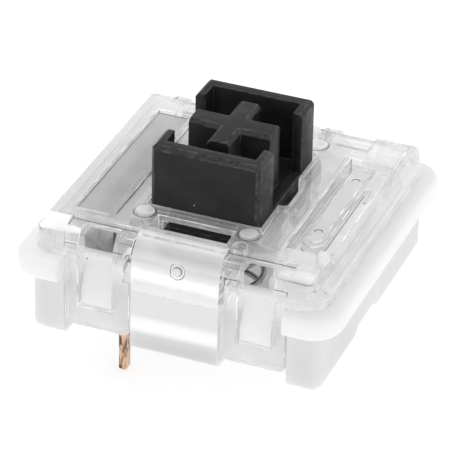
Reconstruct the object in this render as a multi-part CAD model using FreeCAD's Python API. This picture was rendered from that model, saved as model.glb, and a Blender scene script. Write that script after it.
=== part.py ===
import FreeCAD, Part
import math
import os

# Low-profile mechanical keyboard switch, in millimetres.
# Origin on the centre post's axis, at the face that seats on the circuit board.
# +Z is up, away from the board. +X points to the light window, -X to the contacts, -Y to the front.

V = FreeCAD.Vector

# Housing outline
BODY = 13.95               # square body that drops into the plate's cut-out
BODY_CORNER = 0.45         # rounding of the body's upright corners
FLANGE = 15.6              # square flange that rests on the plate
FLANGE_CORNER = 1.5        # rounding of the flange's corners in plan
FLANGE_EDGE = 0.3          # rounding of the flange's lower and upper edges
PLATE_SEAT = 3.15          # height of the flange's underside above the board
FLANGE_THICK = 1.0         # thickness of the flange
ROOF_TOP = 5.8             # height of the upper housing's flat top above the board
ROOF_THICK = 0.8           # thickness of the upper housing's roof

# Lower housing walls and floor
FLOOR_GAP = 0.2            # relief under the floor, so that only its rim meets the board
FLOOR_THICK = 0.8          # thickness of the floor
SIDE_WALL = 0.9            # thickness of the left and right walls
END_WALL = 1.25            # thickness of the front and back walls
FOOT_CHAMFER = 0.3         # chamfer at the corner blocks' lower outside corners
CATCH_TOP_DROP = 0.5       # how far the catch's top lies under the flange's top
BAY_RELIEF = 0.5           # how far the wall under a latch bay stops above the board
BLOCK_RELIEF = 0.12        # the same under the front and back centre blocks
BLOCK_TOP = 3.25           # height where a centre block meets the clear panel
NOTCH_DEPTH = 0.62         # notch in the lower edge of each side wall
NOTCH_LENGTH = 2.2         # length of that notch's flat top
NOTCH_SLOPE = 0.65         # run of its sloped ends
NOTCH_CENTRE = -0.7        # where it lies along the side
NOTCH_REACH = 0.7          # how deep it cuts into the wall

# Centre post and spring well
POST_R = 2.5               # board locating post
POST_LENGTH = 2.65         # post's reach below the board's face
POST_CHAMFER = 0.25        # lead-in at the post's tip
WELL_R = 1.95              # spring well bored in the post
WELL_FLOOR = 0.6           # thickness left at the post's tip

# Latch legs of the upper housing, two on the front and two on the back
BAY_INNER = 2.12           # bay in the lower housing, from the centre block
BAY_OUTER = 5.38           # to the corner block
LEG_THICK = 0.6            # thickness of a leg
LEG_BOTTOM = 0.72          # height of the leg's lower end above the board
LEG_CORNER = 0.3           # rounding of the leg's lower corners
LEG_CLEAR = 0.06           # gap round a leg in its bay
WINDOW_IN = 3.0            # latch window, from the centre line
WINDOW_OUT = 4.68          # to its outer side
WINDOW_BOTTOM = 1.75       # its lower edge
WINDOW_RUN = 1.03          # how far it runs in over the shoulder, from the front face
HOOD_THICK = 0.22          # roof left over the relief behind it
HOOD_RUN = 1.8             # how far that relief runs in, from the front face
CATCH_CLEAR = 0.08         # gap between the catch and the window
CATCH_PROUD = 0.5          # how far the catch stands in the window
CATCH_FACE = 0.6           # height of its flat face, below the ramp

# Upper housing walls and shoulders
TOP_WALL = 0.85            # wall thickness
TOP_OVERHANG = 0.075       # how far its sides stand out past the body at the flange
TOP_CORNER = 1.1           # rounding of its upright corners
TOP_SHOULDER = 1.15        # rounding of the front and back upper edges
PANEL_SHOULDER = 1.4       # the same on the centre panels
SIDE_RISE = 0.65           # upright part of the left and right sides
SIDE_SLOPE = 0.55          # run of the slope above it
GROOVE_WIDTH = 0.36        # upright groove beside a centre panel
GROOVE_DEPTH = 0.7         # depth of that groove
GROOVE_BOTTOM = 3.6        # its lower end
SHOULDER_DROP = 0.22       # lowering of the shoulder above each leg
GATE_X = 0.11              # mould gate's mark on the front panel's shoulder
GATE_TURN = 12.8           # how far round the shoulder it lies, in degrees
GATE_R = 0.36              # its outer radius
GATE_CORE_R = 0.2          # radius of the stub in its middle
GATE_DEPTH = 0.07          # depth of the ring between them

# Stem
STEM_X = 5.3               # width of the keycap box
STEM_Y = 7.0               # depth of the keycap box
STEM_TOP = 8.75            # height of its top at rest
STEM_WALL = 0.7            # its front and back walls
RETURN_WALL = 0.5          # the returns that turn the corner
RETURN_LENGTH = 1.7        # their length along Y
BOX_FLOOR = 5.67           # height of the box's floor
BOX_FLOOR_THICK = 0.8      # thickness of that floor
BOX_EDGE = 0.18            # bevel of the top edges and upright corners
CROSS = 4.0                # keycap cross, tip to tip
CROSS_X_ARM = 1.25         # thickness of the arm along X
CROSS_Y_ARM = 1.1          # thickness of the arm along Y
CROSS_BEVEL = 0.18         # bevel of the arm's top edges
TRAVEL = 2.8               # full stroke of the stem
STROKE_CLEAR = 0.15        # gap above the floor at the end of the stroke
ROOF_CLEAR = 0.05          # gap under the roof at rest
SKIRT_ROOM_X = 3.0         # room for the contacts, between the stem's skirt and a side wall
SKIRT_ROOM_Y = 1.825       # room between the skirt and an end wall
SKIRT_CORNER = 0.6         # rounding of its corners
TONGUE_WIDTH = 3.1         # front and back guide tongues
TONGUE_REACH = 5.25        # how far they reach from the centre
STOP_REACH = 0.4           # how far the stop above each tongue stands out from the keycap box
STEM_CLEAR = 0.1           # gap round the stem in the roof and in the guides
POLE_R = 0.9               # pole that guides the spring
POLE_TIP = 0.2             # chamfer at its tip
POLE_CLEAR = 0.15          # gap under it at the end of the stroke
NUB_SHORT = 0.7            # how far the nub that works the leaf stops short of the leaf's plane
NUB_WIDTH = 0.6            # its width along Y
NUB_HEIGHT = 0.8           # its height
NUB_EDGE = 0.12            # rounding of the nub's edges

# Stem opening in the roof
OPEN_BAY = 0.42            # shallow bay on the light side of the opening
OPEN_BAY_FROM = -1.4       # its near end
OPEN_BAY_TO = 1.2          # its far end
OPEN_BAY_R = 0.28          # rounding of its corners

# Two guide rails that hang from the roof on the light side of the stem
RAIL_GAP = 0.08            # their distance from the opening's bay
RAIL_THICK = 0.35          # thickness along X
RAIL_NEAR = 0.85           # near face, from the middle
RAIL_FAR = 1.65            # far face, from the middle
RAIL_HANG = 1.5            # how far they hang under the roof

# Slot in the roof over each tongue, with a boss at each end
SLOT_SIDE = 0.3            # gap between the slot's ends and the tongue's sides
SLOT_BAR = 0.76            # bar of roof between the stem opening and the slot
BAR_THICK = 0.28           # thickness of that bar over the stem's stop
TONGUE_GAP = 0.2           # gap between the tongue's tip and the centre panel
BOSS_OUT = 0.67            # boss centre, from the slot's end
BOSS_IN = 0.02             # boss centre, from the slot's near edge
BOSS_R = 0.62              # boss radius
BOSS_RISE = 0.1            # how far it stands above the roof
BOSS_EDGE = 0.2            # bevel of its top edge
DIMPLE_R = 0.34            # dimple in front of the boss
DIMPLE_GAP = 0.06          # wall between the dimple and the boss
DIMPLE_DEPTH = 0.5         # its depth under the roof's top

# Bare name panel on the contact side
PANEL_EDGE = 0.9           # its outer edge, from the edge of the flat roof
PANEL_WIDTH = 1.7          # its width
PANEL_FRONT = 1.825        # its front end, from the front face
PANEL_BACK = 2.375         # its back end, from the back face
PANEL_DEPTH = 0.22         # depth under the roof's top
PANEL_RIB = 0.3            # width of the rib beside it
PANEL_RIB_RISE = 0.1       # how far that rib stands up

# Light trough with its lens bar and, beside the bar, a flat pocket
TROUGH_EDGE = 0.65         # trough's outer edge, from the edge of the flat roof
TROUGH_WIDTH = 1.5         # its width
TROUGH_FRONT = 2.275       # its front end, from the front face
TROUGH_BACK = 3.075        # its back end, from the back face
POCKET_WIDTH = 0.5         # how far the pocket reaches past the trough
POCKET_SHORT = 0.4         # how far its front end stops short of the trough's
POCKET_BACK = 1.5          # its back end, from the middle
TROUGH_FLOOR = 5.0         # height of their floor
TROUGH_FLOOR_THICK = 0.6   # thickness of their floor
TROUGH_WALL = 0.4          # thickness of the walls under the roof round them
LENS_IN = 0.75             # lens bar's middle line, from the trough's inner edge
LENS_WIDTH = 1.1           # width of the bar
LENS_SHORT = 0.3           # gap between the bar's back end and the trough's
LENS_TOP_DROP = 0.25       # its top lies this far under the roof's top
LENS_EDGE = 0.16           # bevel of its top edge
LENS_END = 0.54            # rounding of its ends in plan
LENS_MARK_R = 0.2          # round marks near its ends
LENS_MARK_IN = 1.15        # their distance from the bar's ends
LENS_MARK_DEPTH = 0.06     # their depth
LIGHT_SLOT_OUT = 0.1       # middle of the light window in the floor, from the lens bar's line
LIGHT_SLOT_W = 1.4         # its width
LIGHT_SLOT_L = 4.8         # its length

# Guide walls beside the stem in the lower housing
GUIDE_THICK = 0.55         # thickness
GUIDE_TOP = 4.1            # height of their top
GUIDE_HALF = 4.9           # half length of the guide on the light side
GUIDE_NEAR = 1.4           # the two guides on the contact side start here
GUIDE_END_GAP = 0.38       # and end this far from the fixed terminal's tab

# Return spring
WIRE = 0.28                # wire thickness
WIRE_SIDES = 8             # sides of the wire's section, which keep its facets few
SPRING_R = 1.55            # coil's mean radius
TURNS = 7                  # turns of the coil
SPRING_SEAT = 0.02         # gap at each end of the coil

# Contacts, on the -X side
STRIP = 0.25               # thickness of the terminals' strip
PIN_W = 0.38               # solder pin, across X
PIN_D = 0.5                # solder pin, across Y
PIN_REACH = 2.6            # pins' reach below the board's face
PIN_TAPER = 0.12           # chamfer at the pins' tips
PIN_CLEAR = 0.05           # gap round a pin in the floor
PIN_FROM_SIDE = 2.775      # front pin's axis, from the side wall's inner face
PIN_FROM_FRONT = 0.925     # the same, from the front wall's inner face
FIXED_PIN_Y = 0.0          # side pin
FRAME_GAP = 0.475          # gap between the front frame and the side wall
FRAME_PAST = 0.3           # how far the frame reaches past the pin's axis
FRAME_TOP = 4.85           # its top
LIFT = 0.05                # gap between the terminals and the floor
LEAF_FROM_SIDE = 1.125     # leaf's middle plane, from the side wall's inner face
LEAF_THICK = 0.12          # leaf's thickness
LEAF_BOTTOM = 1.35         # leaf's lower edge
LEAF_TOP = 4.6             # leaf's upper edge
ROOT_IN = 0.1              # leaf's fixed end, behind the pin's axis
PIVOT_IN = 0.2             # line that the leaf bends about, behind the pin's axis
LEAF_PAST_TIP = 0.4        # how far the leaf's free end runs past its contact tip
LEAF_GAP = 0.06            # gap between the leaf and its seat
TAB_REACH = 0.5            # how far that seat runs on past the bend line
PRONG_HALF = 0.32          # half width of the prong's crest
PRONG_RUN = 0.95           # run of the prong's flanks
NUB_GAP = 0.08             # gap between the nub and the prong
SWING_DEG = 2.6            # how far the leaf swings over the stroke
SLIT_LOW = 2.2             # slits that make the leaf springy
SLIT_HIGH = 3.7            # upper edge of the slits
TIP_FROM_END = 1.7         # contact tips, in front of the fixed terminal's back plate
TIP_Z = 3.0                # contact tips
TIP_R = 0.36               # radius of a contact tip
TIP_THICK = 0.22           # thickness of a contact tip
TIP_GAP = 0.39             # gap between the contact tips at rest
TAB_HALF = 0.42            # half width of the fixed tab about its tip
FIXED_FROM_BACK = 0.525    # near face of the back plate, from the back wall's inner face
FIXED_FRONT = -1.0         # fixed terminal's front end
FIXED_TOP = 3.9            # its top

# Sizes that follow from the ones above
HALF = BODY / 2
TOP_HALF = HALF + TOP_OVERHANG
ROOF_HALF = TOP_HALF - SIDE_SLOPE
FLANGE_TOP = PLATE_SEAT + FLANGE_THICK
ROOF_UNDER = ROOF_TOP - ROOF_THICK
FLOOR_TOP = FLOOR_GAP + FLOOR_THICK
CAVITY_X = HALF - SIDE_WALL
CAVITY_Y = HALF - END_WALL
BAY_Y = HALF - LEG_THICK - LEG_CLEAR
SKIRT_X = 2 * (CAVITY_X - SKIRT_ROOM_X)
SKIRT_Y = 2 * (CAVITY_Y - SKIRT_ROOM_Y)
SKIRT_BOTTOM = FLOOR_TOP + TRAVEL + STROKE_CLEAR
SKIRT_TOP = ROOF_UNDER - ROOF_CLEAR
BAR_UNDER = ROOF_TOP - BAR_THICK
BOX_UNDER = BOX_FLOOR - BOX_FLOOR_THICK
WELL_BOTTOM = WELL_FLOOR - POST_LENGTH
POLE_BOTTOM = WELL_BOTTOM + TRAVEL + POLE_CLEAR
OPEN_X = STEM_X / 2 + STEM_CLEAR
OPEN_Y = STEM_Y / 2 + STEM_CLEAR
GUIDE_X = max(SKIRT_X, STEM_X) / 2 + STEM_CLEAR
RAIL_X = max(OPEN_X + OPEN_BAY + RAIL_GAP, GUIDE_X)
LIGHT_GUIDE_X = RAIL_X + RAIL_THICK + STEM_CLEAR
SLOT_HALF = TONGUE_WIDTH / 2 + SLOT_SIDE
SLOT_NEAR = OPEN_Y + SLOT_BAR
SLOT_FAR = TONGUE_REACH + TONGUE_GAP
BOSS_X = SLOT_HALF + BOSS_OUT
BOSS_Y = SLOT_NEAR + BOSS_IN
PANEL_FROM_X = PANEL_EDGE - ROOF_HALF
PANEL_TO_X = PANEL_FROM_X + PANEL_WIDTH
PANEL_FROM_Y = PANEL_FRONT - HALF
PANEL_TO_Y = HALF - PANEL_BACK
TROUGH_TO_X = ROOF_HALF - TROUGH_EDGE
TROUGH_FROM_X = TROUGH_TO_X - TROUGH_WIDTH
TROUGH_FROM_Y = TROUGH_FRONT - HALF
TROUGH_TO_Y = HALF - TROUGH_BACK
LENS_X = TROUGH_FROM_X + LENS_IN
LENS_HALF_Y = TROUGH_TO_Y - LENS_SHORT
LENS_MARK_Y = LENS_HALF_Y - LENS_MARK_IN
LIGHT_SLOT_X = LENS_X + LIGHT_SLOT_OUT
LEAF_PIN_X = PIN_FROM_SIDE - CAVITY_X
LEAF_PIN_Y = PIN_FROM_FRONT - CAVITY_Y
LEAF_X = LEAF_FROM_SIDE - CAVITY_X
LEAF_ROOT = LEAF_PIN_Y + ROOT_IN
LEAF_PIVOT = LEAF_PIN_Y + PIVOT_IN
FIXED_END = CAVITY_Y - FIXED_FROM_BACK
TIP_Y = FIXED_END - TIP_FROM_END
LEAF_END = TIP_Y + LEAF_PAST_TIP
GUIDE_FAR = TIP_Y - TAB_HALF - GUIDE_END_GAP
NUB_REACH = -LEAF_X - NUB_SHORT
OVER = 1.0                 # how far a cutting tool runs past what it cuts
TOL = 1e-6                # points nearer than this count as level


def block(x0, x1, y0, y1, z0, z1):
    """A box from one corner to the other."""
    corner = V(min(x0, x1), min(y0, y1), min(z0, z1))
    return Part.makeBox(abs(x1 - x0), abs(y1 - y0), abs(z1 - z0), corner)


def prism(points, direction):
    """A flat outline pushed along a direction."""
    corners = [V(*p) for p in points]
    wire = Part.makePolygon(corners + [corners[0]])
    return Part.Face(wire).extrude(V(*direction))


def upright_edges(shape):
    """The edges of a solid that run along Z."""
    found = []
    for edge in shape.Edges:
        start, end = edge.Vertexes[0].Point, edge.Vertexes[-1].Point
        if abs(start.x - end.x) < TOL and abs(start.y - end.y) < TOL:
            found.append(edge)
    return found


def edges_at(shape, z):
    """The edges of a solid that lie in the level plane at height z."""
    return [e for e in shape.Edges if all(abs(v.Point.z - z) < TOL for v in e.Vertexes)]


def rounded_block(width, depth, radius, z0, z1):
    """A box centred on the Z axis with rounded upright corners."""
    shape = block(-width / 2, width / 2, -depth / 2, depth / 2, z0, z1)
    return shape.makeFillet(radius, upright_edges(shape))


def flip_x(shape):
    """The shape's mirror image across the YZ plane."""
    return shape.mirror(V(0, 0, 0), V(1, 0, 0))


def flip_y(shape):
    """The shape's mirror image across the XZ plane."""
    return shape.mirror(V(0, 0, 0), V(0, 1, 0))


def both_ends(shape):
    """The shape at the front with its image at the back."""
    return [shape, flip_y(shape)]


def all_corners(shape):
    """The shape with its images in the other three quarters."""
    return both_ends(shape) + both_ends(flip_x(shape))


def flange():
    """The flange that rests on the plate, rounded all round."""
    plate = rounded_block(FLANGE, FLANGE, FLANGE_CORNER, PLATE_SEAT, FLANGE_TOP)
    rims = edges_at(plate, PLATE_SEAT) + edges_at(plate, FLANGE_TOP)
    return plate.makeFillet(FLANGE_EDGE, rims)


def latch_bay():
    """Space for one front leg, open to the front, and clear of the board below."""
    bay = block(BAY_INNER, BAY_OUTER, -BAY_Y, -FLANGE, -OVER, FLANGE_TOP + OVER)
    under = block(BAY_INNER, BAY_OUTER, -CAVITY_Y, -FLANGE, -OVER, BAY_RELIEF)
    return bay.fuse(under)


def latch_catch():
    """Wedge in a bay that the leg's window snaps over."""
    x0 = WINDOW_IN + CATCH_CLEAR
    x1 = WINDOW_OUT - CATCH_CLEAR
    bottom = WINDOW_BOTTOM + CATCH_CLEAR
    top = FLANGE_TOP - CATCH_TOP_DROP
    face = -BAY_Y
    outline = [
        (x0, face, bottom),
        (x0, face - CATCH_PROUD, bottom),
        (x0, face - CATCH_PROUD, bottom + CATCH_FACE),
        (x0, face, top),
    ]
    return prism(outline, (x1 - x0, 0, 0))


def side_notch():
    """Notch in the lower edge of the wall on the light side."""
    half = NOTCH_LENGTH / 2
    x0 = HALF - NOTCH_REACH
    outline = [
        (x0, NOTCH_CENTRE - half - NOTCH_SLOPE, 0),
        (x0, NOTCH_CENTRE - half, NOTCH_DEPTH),
        (x0, NOTCH_CENTRE + half, NOTCH_DEPTH),
        (x0, NOTCH_CENTRE + half + NOTCH_SLOPE, 0),
    ]
    return prism(outline, (OVER, 0, 0))


def bottom_housing():
    """Lower housing with its flange, latch bays, post, spring well and guides."""
    shell = rounded_block(BODY, BODY, BODY_CORNER, 0, FLANGE_TOP)
    shell = shell.makeChamfer(FOOT_CHAMFER, edges_at(shell, 0))
    shell = shell.fuse(flange())

    front = block(-BAY_OUTER, BAY_OUTER, -HALF, -FLANGE, -OVER, FLANGE_TOP + OVER)
    low_rim = block(-BAY_INNER, BAY_INNER, -CAVITY_Y + OVER, -FLANGE, BLOCK_TOP, FLANGE_TOP + OVER)
    foot = block(-BAY_INNER, BAY_INNER, -CAVITY_Y, -FLANGE, -OVER, BLOCK_RELIEF)
    cuts = both_ends(front) + both_ends(low_rim) + both_ends(foot)
    cuts += all_corners(latch_bay())
    cuts += [side_notch(), flip_x(side_notch())]
    cuts.append(rounded_block(2 * CAVITY_X, 2 * CAVITY_Y, BODY_CORNER, FLOOR_TOP, FLANGE_TOP + OVER))
    cuts.append(rounded_block(2 * CAVITY_X, 2 * CAVITY_Y, BODY_CORNER, -OVER, FLOOR_GAP))
    shell = shell.cut(cuts)
    shell = shell.fuse(all_corners(latch_catch()))

    post = Part.makeCylinder(POST_R, POST_LENGTH + FLOOR_TOP, V(0, 0, -POST_LENGTH))
    post = post.makeChamfer(POST_CHAMFER, edges_at(post, -POST_LENGTH))
    light_guide = block(
        LIGHT_GUIDE_X, LIGHT_GUIDE_X + GUIDE_THICK, -GUIDE_HALF, GUIDE_HALF, FLOOR_GAP, GUIDE_TOP)
    leaf_guide = block(-GUIDE_X, -GUIDE_X - GUIDE_THICK, -GUIDE_FAR, -GUIDE_NEAR, FLOOR_GAP, GUIDE_TOP)
    shell = shell.fuse([post, light_guide] + both_ends(leaf_guide))

    well = Part.makeCylinder(WELL_R, FLANGE_TOP, V(0, 0, WELL_BOTTOM))
    slot_x0 = LIGHT_SLOT_X - LIGHT_SLOT_W / 2
    slot_x1 = LIGHT_SLOT_X + LIGHT_SLOT_W / 2
    light_slot = block(slot_x0, slot_x1, -LIGHT_SLOT_L / 2, LIGHT_SLOT_L / 2, -OVER, FLOOR_TOP + OVER)
    channel_x = TONGUE_WIDTH / 2 + STEM_CLEAR
    channel_y = TONGUE_REACH + STEM_CLEAR
    channel = block(-channel_x, channel_x, -channel_y, channel_y, FLOOR_TOP, FLANGE_TOP + OVER)
    pin_holes = [pin_hole(leaf_pin_box()), pin_hole(fixed_pin_box())]
    return shell.cut([well, light_slot, channel] + pin_holes)


def pin_hole(box):
    """Hole through the floor round a solder pin's box."""
    x0, x1, y0, y1 = box
    c = PIN_CLEAR
    return block(x0 - c, x1 + c, y0 - c, y1 + c, -OVER, FLOOR_TOP + OVER)


def shoulder_profile(half_width, radius, z0):
    """Section through the upper housing along Y, with both shoulders rounded, pushed along X."""
    turn = radius * (1 - math.sqrt(0.5))
    near = V(-half_width, -HALF, z0)
    low = V(-half_width, -HALF, ROOF_TOP - radius)
    mid = V(-half_width, -HALF + turn, ROOF_TOP - turn)
    high = V(-half_width, -HALF + radius, ROOF_TOP)

    def far(p):
        return V(p.x, -p.y, p.z)

    edges = [
        Part.makeLine(near, low),
        Part.Arc(low, mid, high).toShape(),
        Part.makeLine(high, far(high)),
        Part.Arc(far(high), far(mid), far(low)).toShape(),
        Part.makeLine(far(low), far(near)),
        Part.makeLine(far(near), near),
    ]
    return Part.Face(Part.Wire(edges)).extrude(V(2 * half_width, 0, 0))


def side_profile():
    """Section through the upper housing along X, with sloped sides, pushed along Y."""
    half = TOP_HALF
    knee = FLANGE_TOP + SIDE_RISE
    outline = [
        (-half, -BODY, FLANGE_TOP),
        (-half, -BODY, knee),
        (-half + SIDE_SLOPE, -BODY, ROOF_TOP),
        (half - SIDE_SLOPE, -BODY, ROOF_TOP),
        (half, -BODY, knee),
        (half, -BODY, FLANGE_TOP),
    ]
    return prism(outline, (0, 2 * BODY, 0))


def latch_leg():
    """One leg, from the shoulder down, with rounded lower corners."""
    x0 = BAY_INNER + LEG_CLEAR
    x1 = BAY_OUTER - LEG_CLEAR
    leg = block(x0, x1, -HALF, -HALF + LEG_THICK, LEG_BOTTOM, ROOF_UNDER)
    lower = [e for e in edges_along_y(leg) if e.Vertexes[0].Point.z < LEG_BOTTOM + TOL]
    return leg.makeFillet(LEG_CORNER, lower)


def edges_along_y(shape):
    """The edges of a solid that run along Y."""
    found = []
    for edge in shape.Edges:
        start, end = edge.Vertexes[0].Point, edge.Vertexes[-1].Point
        if abs(start.x - end.x) < TOL and abs(start.z - end.z) < TOL:
            found.append(edge)
    return found


def gate_mark():
    """Ring-shaped hollow that the mould's gate left, square to the rounded front shoulder."""
    turn = math.radians(GATE_TURN)
    inwards = V(0, math.cos(turn), -math.sin(turn))
    shoulder = V(GATE_X, PANEL_SHOULDER - HALF, ROOF_TOP - PANEL_SHOULDER)
    start = shoulder - inwards * (PANEL_SHOULDER + OVER)
    ring = Part.makeCylinder(GATE_R, GATE_DEPTH + OVER, start, inwards)
    return ring.cut(Part.makeCylinder(GATE_CORE_R, GATE_DEPTH + OVER, start, inwards))


def end_boss():
    """Rounded boss at one end of the roof's slot."""
    height = ROOF_TOP + BOSS_RISE - ROOF_UNDER
    boss = Part.makeCylinder(BOSS_R, height, V(BOSS_X, -BOSS_Y, ROOF_UNDER))
    return boss.makeChamfer(BOSS_EDGE, edges_at(boss, ROOF_TOP + BOSS_RISE))


def lens_bar():
    """Lens bar with round ends that stands in the light trough."""
    half = LENS_WIDTH / 2
    top = ROOF_TOP - LENS_TOP_DROP
    bar = block(LENS_X - half, LENS_X + half, -LENS_HALF_Y, LENS_HALF_Y, TROUGH_FLOOR, top)
    bar = bar.makeFillet(LENS_END, upright_edges(bar))
    bar = bar.makeChamfer(LENS_EDGE, edges_at(bar, top))
    mark = Part.makeCylinder(LENS_MARK_R, OVER, V(LENS_X, -LENS_MARK_Y, top - LENS_MARK_DEPTH))
    return bar.cut(both_ends(mark))


def stem_opening():
    """Opening for the stem, with a shallow bay on the light side."""
    low, high = TROUGH_FLOOR - TROUGH_FLOOR_THICK - OVER, ROOF_TOP + OVER
    hole = block(-OPEN_X, OPEN_X, -OPEN_Y, OPEN_Y, low, high)
    bay = block(OPEN_X - OVER, OPEN_X + OPEN_BAY, OPEN_BAY_FROM, OPEN_BAY_TO, low, high)
    bay = bay.makeFillet(OPEN_BAY_R, upright_edges(bay))
    return hole.fuse(bay)


def top_housing():
    """Clear upper housing with its legs, panels, slots, name panel and light trough."""
    skin = rounded_block(2 * TOP_HALF, BODY, TOP_CORNER, FLANGE_TOP, ROOF_TOP)
    skin = skin.common(side_profile()).common(shoulder_profile(BODY, TOP_SHOULDER, FLANGE_TOP))
    inner_x = TOP_HALF - TOP_WALL
    inner_y = HALF - TOP_WALL
    hollow = block(-inner_x, inner_x, -inner_y, inner_y, FLANGE_TOP - OVER, ROOF_UNDER)
    skin = skin.cut(hollow.makeFillet(TOP_CORNER - TOP_WALL, upright_edges(hollow)))

    panel = shoulder_profile(BAY_INNER, PANEL_SHOULDER, BLOCK_TOP)
    panel = panel.common(block(-BAY_INNER, BAY_INNER, -HALF, -SLOT_FAR, BLOCK_TOP, ROOF_TOP))
    panel_space = block(-BAY_INNER, BAY_INNER, -BODY, -inner_y, BLOCK_TOP, ROOF_TOP + OVER)
    skin = skin.cut(both_ends(panel_space))
    trough_under = block(
        TROUGH_FROM_X - TROUGH_WALL, inner_x, TROUGH_FROM_Y - TROUGH_WALL, TROUGH_TO_Y + TROUGH_WALL,
        TROUGH_FLOOR - TROUGH_FLOOR_THICK, ROOF_UNDER)
    rail = block(
        RAIL_X, RAIL_X + RAIL_THICK, -RAIL_FAR, -RAIL_NEAR, ROOF_UNDER - RAIL_HANG, ROOF_UNDER)
    skin = skin.fuse(both_ends(panel) + all_corners(latch_leg()) + both_ends(rail) + [trough_under])

    drop = block(BAY_INNER, BAY_OUTER, -BODY, -HALF + TOP_SHOULDER, ROOF_TOP - SHOULDER_DROP, ROOF_TOP)
    window = block(
        WINDOW_IN, WINDOW_OUT, -BODY, -HALF + WINDOW_RUN, WINDOW_BOTTOM, ROOF_TOP + OVER)
    hood = block(
        WINDOW_IN, WINDOW_OUT, -HALF + LEG_THICK, -HALF + HOOD_RUN,
        ROOF_UNDER - OVER, ROOF_TOP - SHOULDER_DROP - HOOD_THICK)
    groove = block(
        BAY_INNER, BAY_INNER + GROOVE_WIDTH, -BODY, -HALF + GROOVE_DEPTH, GROOVE_BOTTOM, ROOF_UNDER)
    skin = skin.cut(all_corners(drop) + all_corners(window) + all_corners(hood) + all_corners(groove))
    skin = skin.cut(gate_mark())

    slot = block(-SLOT_HALF, SLOT_HALF, -SLOT_FAR, -SLOT_NEAR, ROOF_UNDER - OVER, ROOF_TOP + OVER)
    stop_half = TONGUE_WIDTH / 2 + STEM_CLEAR
    stop_space = block(-stop_half, stop_half, -SLOT_FAR, -OPEN_Y, ROOF_UNDER - OVER, BAR_UNDER)
    dimple_y = -BOSS_Y - BOSS_R - DIMPLE_GAP - DIMPLE_R
    dimple = Part.makeCylinder(
        DIMPLE_R, DIMPLE_DEPTH + OVER, V(BOSS_X, dimple_y, ROOF_TOP - DIMPLE_DEPTH))
    trough = block(TROUGH_FROM_X, TROUGH_TO_X, TROUGH_FROM_Y, TROUGH_TO_Y, TROUGH_FLOOR, ROOF_TOP + OVER)
    pocket = block(
        LENS_X, TROUGH_TO_X + POCKET_WIDTH, TROUGH_FROM_Y + POCKET_SHORT, POCKET_BACK,
        TROUGH_FLOOR, ROOF_TOP + OVER)
    name_panel = block(
        PANEL_FROM_X, PANEL_TO_X, PANEL_FROM_Y, PANEL_TO_Y, ROOF_TOP - PANEL_DEPTH, ROOF_TOP + OVER)
    rib = block(
        PANEL_TO_X, PANEL_TO_X + PANEL_RIB, PANEL_FROM_Y, PANEL_TO_Y, ROOF_TOP, ROOF_TOP + PANEL_RIB_RISE)
    skin = skin.cut(both_ends(slot) + both_ends(stop_space) + all_corners(dimple))
    skin = skin.cut([trough, pocket, name_panel])
    skin = skin.fuse(all_corners(end_boss()) + [lens_bar(), rib])
    return skin.cut(stem_opening())


def cross_arm(length, width):
    """One arm of the keycap cross along X, with its long top edges bevelled."""
    half, b = width / 2, CROSS_BEVEL
    x = -length / 2
    outline = [
        (x, -half, BOX_FLOOR),
        (x, -half, STEM_TOP - b),
        (x, -half + b, STEM_TOP),
        (x, half - b, STEM_TOP),
        (x, half, STEM_TOP - b),
        (x, half, BOX_FLOOR),
    ]
    return prism(outline, (length, 0, 0))


def keycap_box():
    """The stem's upper box, open to both sides between its returns."""
    box = block(-STEM_X / 2, STEM_X / 2, -STEM_Y / 2, STEM_Y / 2, SKIRT_BOTTOM, STEM_TOP)
    box = box.makeChamfer(BOX_EDGE, upright_edges(box) + edges_at(box, STEM_TOP))
    inner_x = STEM_X / 2 - RETURN_WALL
    inner_y = STEM_Y / 2 - STEM_WALL
    inside = block(-inner_x, inner_x, -inner_y, inner_y, BOX_FLOOR, STEM_TOP + OVER)
    gap = STEM_Y / 2 - RETURN_LENGTH
    sides = block(-STEM_X, STEM_X, -gap, gap, BOX_FLOOR, STEM_TOP + OVER)
    return box.cut([inside, sides])


def contact_nub():
    """Nub on the skirt that works the contact leaf."""
    nub = block(-NUB_REACH, 0, -NUB_WIDTH / 2, NUB_WIDTH / 2, SKIRT_BOTTOM, SKIRT_BOTTOM + NUB_HEIGHT)
    edges = [e for e in nub.Edges if all(abs(v.Point.x + NUB_REACH) < TOL for v in e.Vertexes)]
    return nub.makeFillet(NUB_EDGE, edges)


def stem():
    """Stem in one piece: keycap box and cross, skirt, tongues with their stops, pole and nub."""
    skirt = rounded_block(SKIRT_X, SKIRT_Y, SKIRT_CORNER, SKIRT_BOTTOM, SKIRT_TOP)
    half = TONGUE_WIDTH / 2
    tongues = block(-half, half, -TONGUE_REACH, TONGUE_REACH, SKIRT_BOTTOM, SKIRT_TOP)
    stop_y = STEM_Y / 2 + STOP_REACH
    stops = block(-half, half, -stop_y, stop_y, SKIRT_BOTTOM, BAR_UNDER - ROOF_CLEAR)
    cross_x = cross_arm(CROSS, CROSS_X_ARM)
    cross_y = cross_arm(CROSS, CROSS_Y_ARM).rotate(V(0, 0, 0), V(0, 0, 1), 90)
    body = keycap_box().fuse([skirt, tongues, stops, cross_x, cross_y, contact_nub()])
    body = body.cut(Part.makeCylinder(WELL_R, BOX_UNDER - SKIRT_BOTTOM, V(0, 0, SKIRT_BOTTOM)))
    pole = Part.makeCylinder(POLE_R, BOX_FLOOR - POLE_BOTTOM, V(0, 0, POLE_BOTTOM))
    pole = pole.makeChamfer(POLE_TIP, edges_at(pole, POLE_BOTTOM))
    return body.fuse(pole)


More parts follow.
